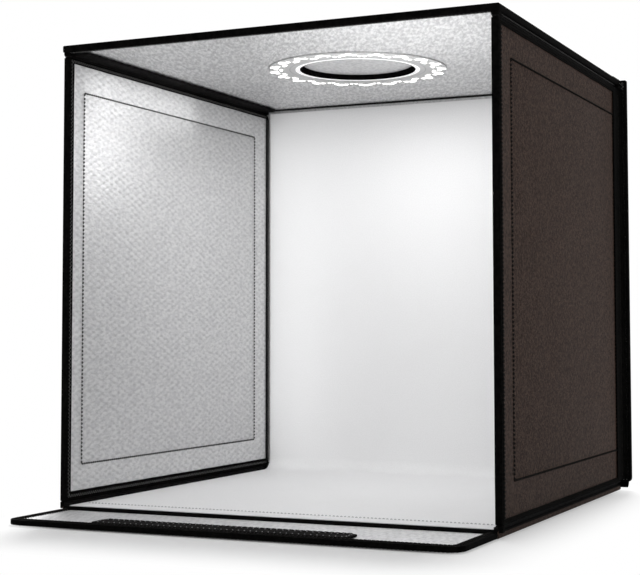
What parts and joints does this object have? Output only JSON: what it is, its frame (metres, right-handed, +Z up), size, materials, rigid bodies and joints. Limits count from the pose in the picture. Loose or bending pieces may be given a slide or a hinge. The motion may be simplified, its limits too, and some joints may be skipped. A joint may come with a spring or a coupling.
{
  "type": "folding light tent cube",
  "caption": "Folding cube-shaped light tent with hinged bound panels, silver lining, lamp ring round a covered top hole, closure flap and sliding white backdrop.",
  "frame": {"origin": "centre of the base panel's underside, on the floor", "axes": "+X to the right seen from the open front, +Y to the back panel, +Z up"},
  "size_m": [0.407, 0.4594, 0.4049],
  "materials": {
    "leatherette_cover": "matte grained leatherette",
    "stiffening_board": "raw board",
    "silver_lining": "silver-coated, finely embossed",
    "black_binding": "woven tape",
    "hook_and_loop": "short pile",
    "white_backdrop": "matte white sheet",
    "lamp_board": "white solder resist",
    "lamp_lens": "clear-coated",
    "black_plastic": "fine spark texture"
  },
  "bodies": {
    "base": {"base_cover": "leatherette_cover", "base_board": "stiffening_board", "base_lining": "silver_lining", "flap_fold_tape": "black_binding", "base_hinge_tape": "black_binding", "left_base_loop_strip": "hook_and_loop", "right_base_loop_strip": "hook_and_loop"},
    "back": {"back_cover": "leatherette_cover", "back_board": "stiffening_board", "back_lining": "silver_lining", "back_binding": "black_binding", "back_upper_hinge_tape": "black_binding", "back_lower_hinge_tape": "black_binding", "back_loop_strip": "hook_and_loop", "backdrop_hang_strip": "hook_and_loop"},
    "right_wall": {"right_wall_cover": "leatherette_cover", "right_wall_board": "stiffening_board", "right_wall_lining": "silver_lining", "right_wall_binding": "black_binding", "right_wall_hinge_tape": "black_binding", "right_wall_lower_hook_strip": "hook_and_loop", "right_wall_upper_hook_strip": "hook_and_loop"},
    "left_wall": {"left_wall_cover": "leatherette_cover", "left_wall_board": "stiffening_board", "left_wall_lining": "silver_lining", "left_wall_binding": "black_binding", "left_wall_hinge_tape": "black_binding", "left_wall_lower_hook_strip": "hook_and_loop", "left_wall_upper_hook_strip": "hook_and_loop"},
    "top": {"top_cover": "leatherette_cover", "top_board": "stiffening_board", "top_lining": "silver_lining", "top_binding": "black_binding", "hole_binding": "black_binding", "lamp_ring_board": "lamp_board", "lamp_chain": "lamp_lens", "power_inlet": "black_plastic", "top_hinge_tape": "black_binding", "left_top_loop_strip": "hook_and_loop", "right_top_loop_strip": "hook_and_loop", "hole_cover_hinge_tape": "black_binding", "left_cover_loop_tab": "hook_and_loop", "right_cover_loop_tab": "hook_and_loop"},
    "hole_cover": {"hole_cover_cover": "leatherette_cover", "hole_cover_board": "stiffening_board", "hole_cover_lining": "silver_lining", "hole_cover_binding": "black_binding", "hole_cover_pad": "silver_lining", "hole_cover_pull_tab": "black_binding", "left_cover_hook_tab": "hook_and_loop", "right_cover_hook_tab": "hook_and_loop"},
    "flap": {"flap_cover": "leatherette_cover", "flap_board": "stiffening_board", "flap_lining": "silver_lining", "flap_binding": "black_binding", "flap_hook_strip": "hook_and_loop"},
    "backdrop": {"backdrop_sheet": "white_backdrop"}
  },
  "joints": [
    {"name": "back_hinge", "type": "hinge", "parent": "base", "child": "back", "pos_m": [0, 0.1865, 0.0072], "axis": [-1, 0, 0], "range_deg": [0, 90]},
    {"name": "right_wall_hinge", "type": "hinge", "parent": "back", "child": "right_wall", "pos_m": [0.185, 0.18475, 0.2], "axis": [0, 0, -1], "range_deg": [0, 90]},
    {"name": "left_wall_hinge", "type": "hinge", "parent": "back", "child": "left_wall", "pos_m": [-0.181, 0.18075, 0.2], "axis": [0, 0, 1], "range_deg": [0, 90]},
    {"name": "top_hinge", "type": "hinge", "parent": "back", "child": "top", "pos_m": [0, 0.1865, 0.4008], "axis": [1, 0, 0], "range_deg": [-180, 0]},
    {"name": "hole_cover_hinge", "type": "hinge", "parent": "top", "child": "hole_cover", "pos_m": [0, 0.06145, 0.4024], "axis": [-1, 0, 0], "range_deg": [0, 170]},
    {"name": "flap_hinge", "type": "hinge", "parent": "base", "child": "flap", "pos_m": [0, -0.18645, 0.005], "axis": [1, 0, 0], "range_deg": [-90, 0]},
    {"name": "backdrop_slide", "type": "slide", "parent": "base", "child": "backdrop", "axis": [0, -1, 0], "range_m": [0, 0.42]}
  ]
}
